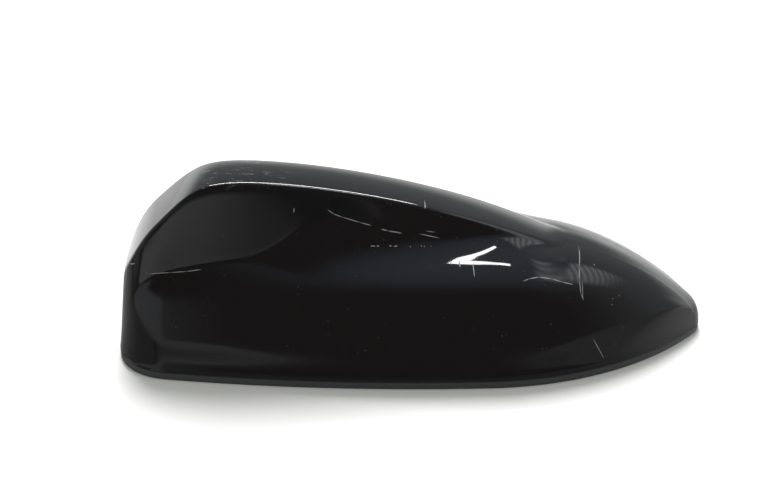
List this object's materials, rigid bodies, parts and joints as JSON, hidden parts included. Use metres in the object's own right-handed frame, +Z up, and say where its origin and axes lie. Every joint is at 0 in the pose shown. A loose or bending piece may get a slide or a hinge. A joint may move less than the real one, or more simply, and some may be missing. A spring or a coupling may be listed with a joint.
{
  "type": "roof antenna",
  "caption": "Low shark-fin roof antenna for a car: glossy moulded cover with an upright fin on a rubber seal, over a base plate with boards and coaxial sockets.",
  "frame": {"origin": "on the roof surface, under the middle of the part's length and width", "axes": "+X towards the low nose, +Z up from the roof"},
  "size_m": [0.165, 0.0632, 0.0524],
  "materials": {
    "gloss_cover": "high gloss black, clear-coated, lightly scratched",
    "foot_rubber": "smooth matte dark grey rubber",
    "cast_carrier": "as-cast, dull",
    "ring_rubber": "soft matte black",
    "plated_steel": "zinc plated",
    "board_laminate": "green lacquered laminate",
    "tinned_sheet": "tinned sheet",
    "patch_ceramic": "fired ceramic, satin",
    "contact_brass": "bright turned brass",
    "chip_plastic": "moulded, matte",
    "radio_housing": "moulded black",
    "gnss_housing": "moulded blue",
    "phone_housing": "moulded dark red",
    "insulator_plastic": "waxy white"
  },
  "bodies": {
    "root": {"cover": "gloss_cover", "seal": "foot_rubber", "base_plate": "cast_carrier", "rim_seal": "ring_rubber", "fixing_bushes": "plated_steel", "cover_screws": "plated_steel", "main_board": "board_laminate", "board_screws": "plated_steel", "patch_ground": "tinned_sheet", "gnss_patch": "patch_ceramic", "patch_pin": "contact_brass", "radio_blade": "board_laminate", "roof_capacitor": "tinned_sheet", "phone_blade": "board_laminate", "shield_fence": "tinned_sheet", "shield_lid": "tinned_sheet", "amplifier_chips": "chip_plastic", "radio_socket": "radio_housing", "gnss_socket": "gnss_housing", "phone_socket": "phone_housing", "socket_shields": "contact_brass", "socket_insulators": "insulator_plastic", "socket_pins": "contact_brass"}
  },
  "joints": []
}
